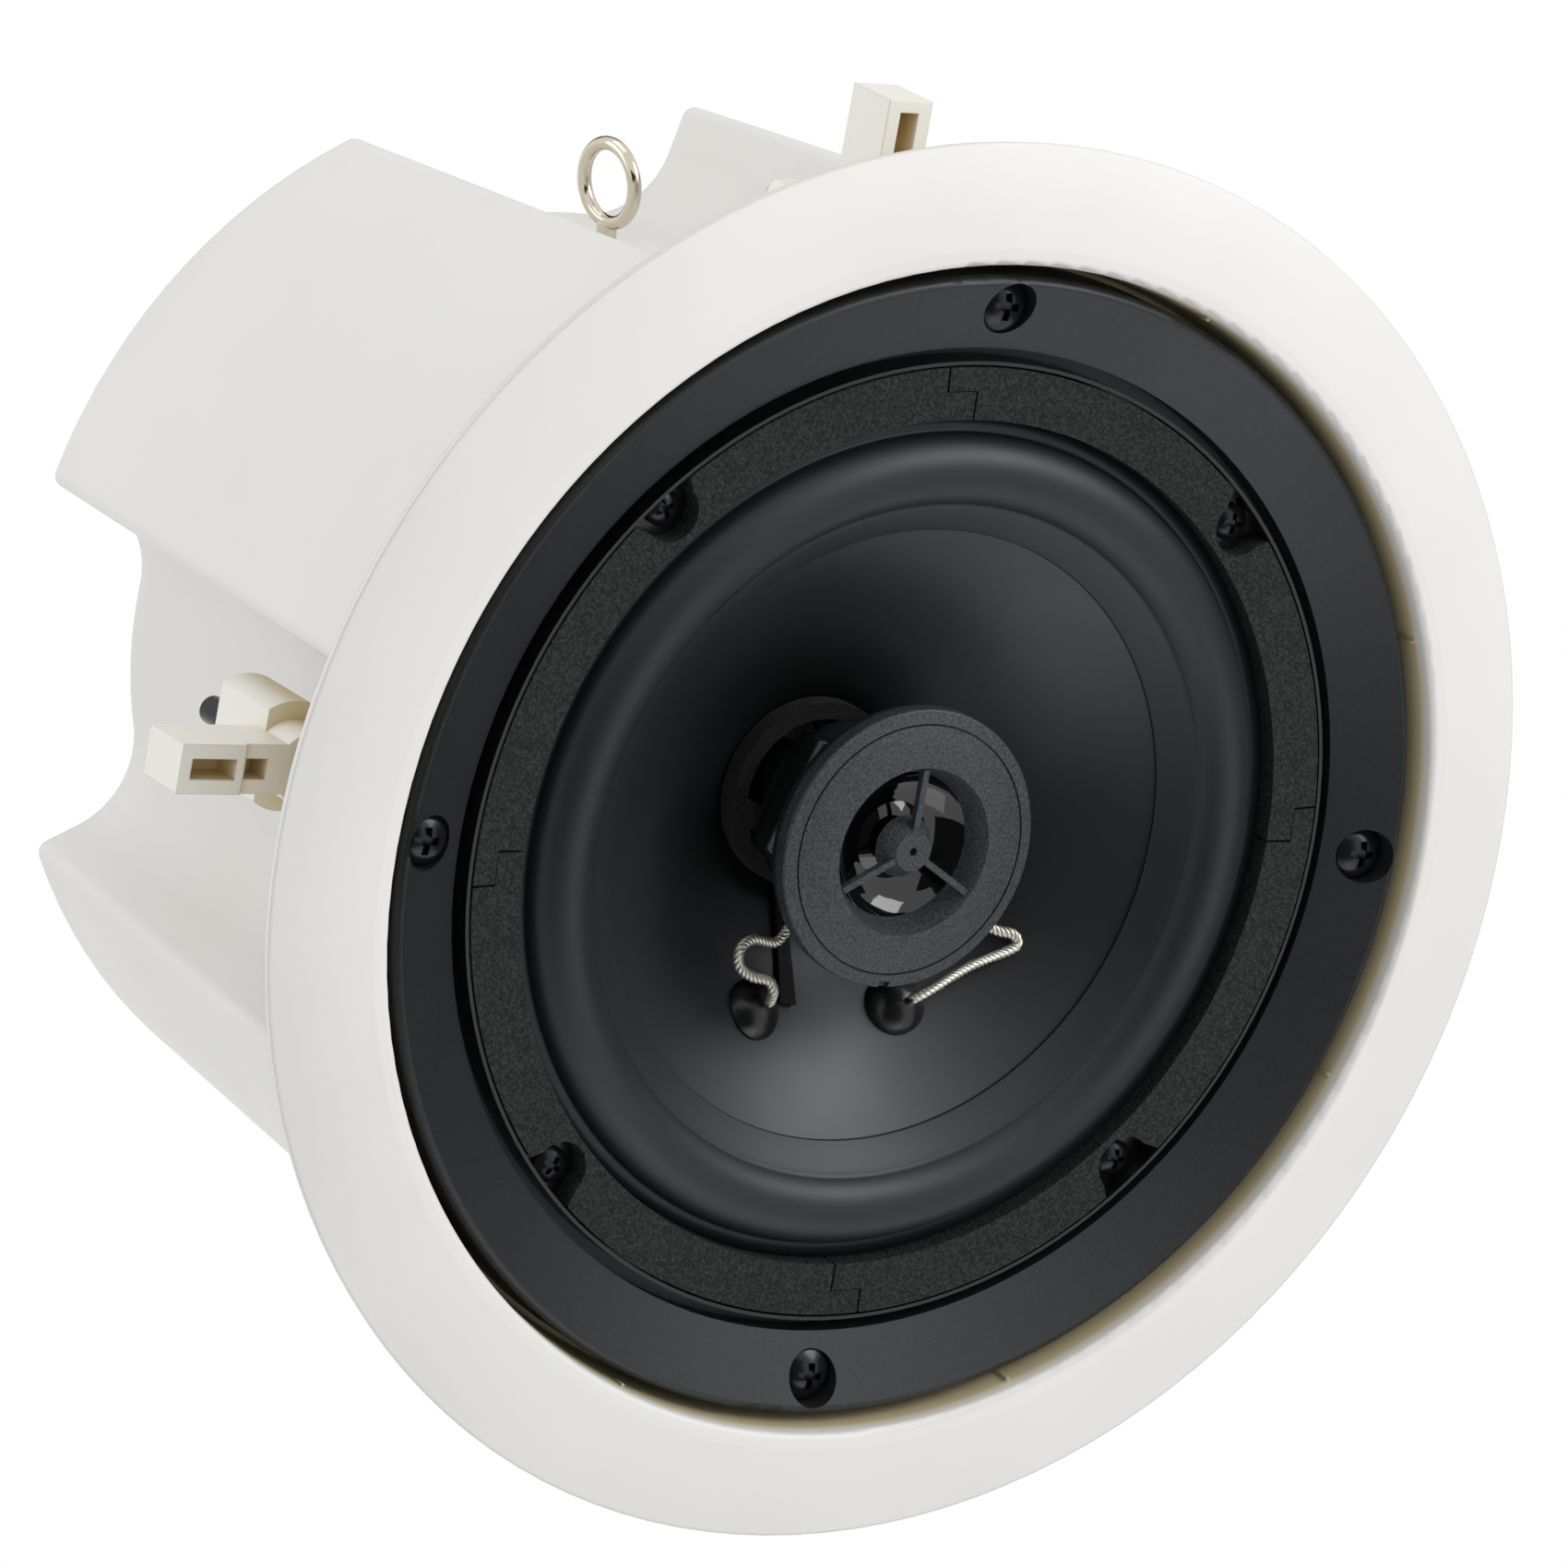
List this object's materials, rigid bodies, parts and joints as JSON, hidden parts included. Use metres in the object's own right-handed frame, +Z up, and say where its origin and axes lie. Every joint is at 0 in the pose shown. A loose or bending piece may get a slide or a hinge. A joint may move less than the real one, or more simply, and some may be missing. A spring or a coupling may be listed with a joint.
{
  "type": "ceiling speaker",
  "caption": "Round flush-mount ceiling speaker with a moulded back can, coaxial woofer and tweeter in an open front, and swing-out clamps that grip the ceiling board.",
  "frame": {"origin": "on the speaker's axis, in the plane of the flange's seat on the ceiling board", "axes": "+Z up along the speaker's axis, from the front towards the back of the can; the front faces -Z"},
  "size_m": [0.238, 0.238, 0.1538],
  "materials": {
    "white_plastic": "moulded, fine satin",
    "cream_plastic": "moulded, satin",
    "black_plastic": "moulded, satin",
    "black_steel": "black paint",
    "black_screw": "black oxide",
    "foam": "closed-cell foam",
    "rubber": "smooth, low sheen",
    "cone_poly": "matt",
    "spider_cloth": "resin-stiffened cloth",
    "aluminium": "plain",
    "copper": "enamelled wire",
    "plated_steel": "zinc plated",
    "ferrite": "sintered",
    "glue": "cured, glossy",
    "tinned_braid": "tinned braid",
    "tinned_tag": "tinned strip",
    "bezel_plastic": "fine texture",
    "gloss_film": "glossy film",
    "gloss_sleeve": "shrink sleeve",
    "felt": "pressed felt",
    "nickel": "nickel plated"
  },
  "bodies": {
    "root": {"housing": "white_plastic", "baffle": "black_plastic", "basket": "black_steel", "driver_screws": "black_screw", "surround": "rubber", "spider": "spider_cloth", "top_plate": "plated_steel", "magnet": "ferrite", "yoke": "plated_steel", "solder_tag_left": "tinned_tag", "solder_tag_right": "tinned_tag", "lead_left": "tinned_braid", "lead_right": "tinned_braid", "tweeter_bezel": "bezel_plastic", "tweeter_diaphragm": "gloss_film", "tweeter_pod": "black_plastic", "tweeter_yoke": "plated_steel", "tweeter_magnet": "plated_steel", "tweeter_mount": "black_plastic", "tweeter_post": "black_plastic", "capacitor": "gloss_sleeve", "eyebolt": "nickel", "eyebolt_nut": "plated_steel", "terminal_block": "black_plastic", "terminal_screws": "plated_steel", "gasket_segment_1": "foam", "gasket_segment_2": "foam", "gasket_segment_3": "foam", "gasket_segment_4": "foam"},
    "cone": {"cone": "cone_poly", "voice_coil_former": "aluminium", "voice_coil": "copper", "lead_anchor_left": "glue", "lead_anchor_right": "glue", "felt_ring": "felt", "coil_lead_left": "glue", "coil_lead_right": "glue"},
    "clamp_1_screw": {"clamp_screw_1": "black_screw"},
    "clamp_1_arm": {"clamp_arm_1": "cream_plastic", "clamp_nut_1": "plated_steel"},
    "clamp_2_screw": {"clamp_screw_2": "black_screw"},
    "clamp_2_arm": {"clamp_arm_2": "cream_plastic", "clamp_nut_2": "plated_steel"},
    "clamp_3_screw": {"clamp_screw_3": "black_screw"},
    "clamp_3_arm": {"clamp_arm_3": "cream_plastic", "clamp_nut_3": "plated_steel"},
    "clamp_4_screw": {"clamp_screw_4": "black_screw"},
    "clamp_4_arm": {"clamp_arm_4": "cream_plastic", "clamp_nut_4": "plated_steel"}
  },
  "joints": [
    {"name": "cone_travel", "type": "slide", "parent": "root", "child": "cone", "axis": [0, 0, 1], "range_m": [-0.004, 0.004], "stiffness_N_per_m": 1800, "deforming": ["surround", "spider", "lead_left", "lead_right"]},
    {"name": "clamp_1_swing", "type": "hinge", "parent": "root", "child": "clamp_1_screw", "pos_m": [-0.0914, 0, 0], "axis": [0, 0, 1], "range_deg": [-90, 0]},
    {"name": "clamp_1_travel", "type": "slide", "parent": "clamp_1_screw", "child": "clamp_1_arm", "axis": [0, 0, 1], "range_m": [-0.0225, 0.005]},
    {"name": "clamp_2_swing", "type": "hinge", "parent": "root", "child": "clamp_2_screw", "pos_m": [0, -0.0914, 0], "axis": [0, 0, 1], "range_deg": [-90, 0]},
    {"name": "clamp_2_travel", "type": "slide", "parent": "clamp_2_screw", "child": "clamp_2_arm", "axis": [0, 0, 1], "range_m": [-0.0225, 0.005]},
    {"name": "clamp_3_swing", "type": "hinge", "parent": "root", "child": "clamp_3_screw", "pos_m": [0.0914, 0, 0], "axis": [0, 0, 1], "range_deg": [-90, 0]},
    {"name": "clamp_3_travel", "type": "slide", "parent": "clamp_3_screw", "child": "clamp_3_arm", "axis": [0, 0, 1], "range_m": [-0.0225, 0.005]},
    {"name": "clamp_4_swing", "type": "hinge", "parent": "root", "child": "clamp_4_screw", "pos_m": [0, 0.0914, 0], "axis": [0, 0, 1], "range_deg": [-90, 0]},
    {"name": "clamp_4_travel", "type": "slide", "parent": "clamp_4_screw", "child": "clamp_4_arm", "axis": [0, 0, 1], "range_m": [-0.0225, 0.005]}
  ]
}
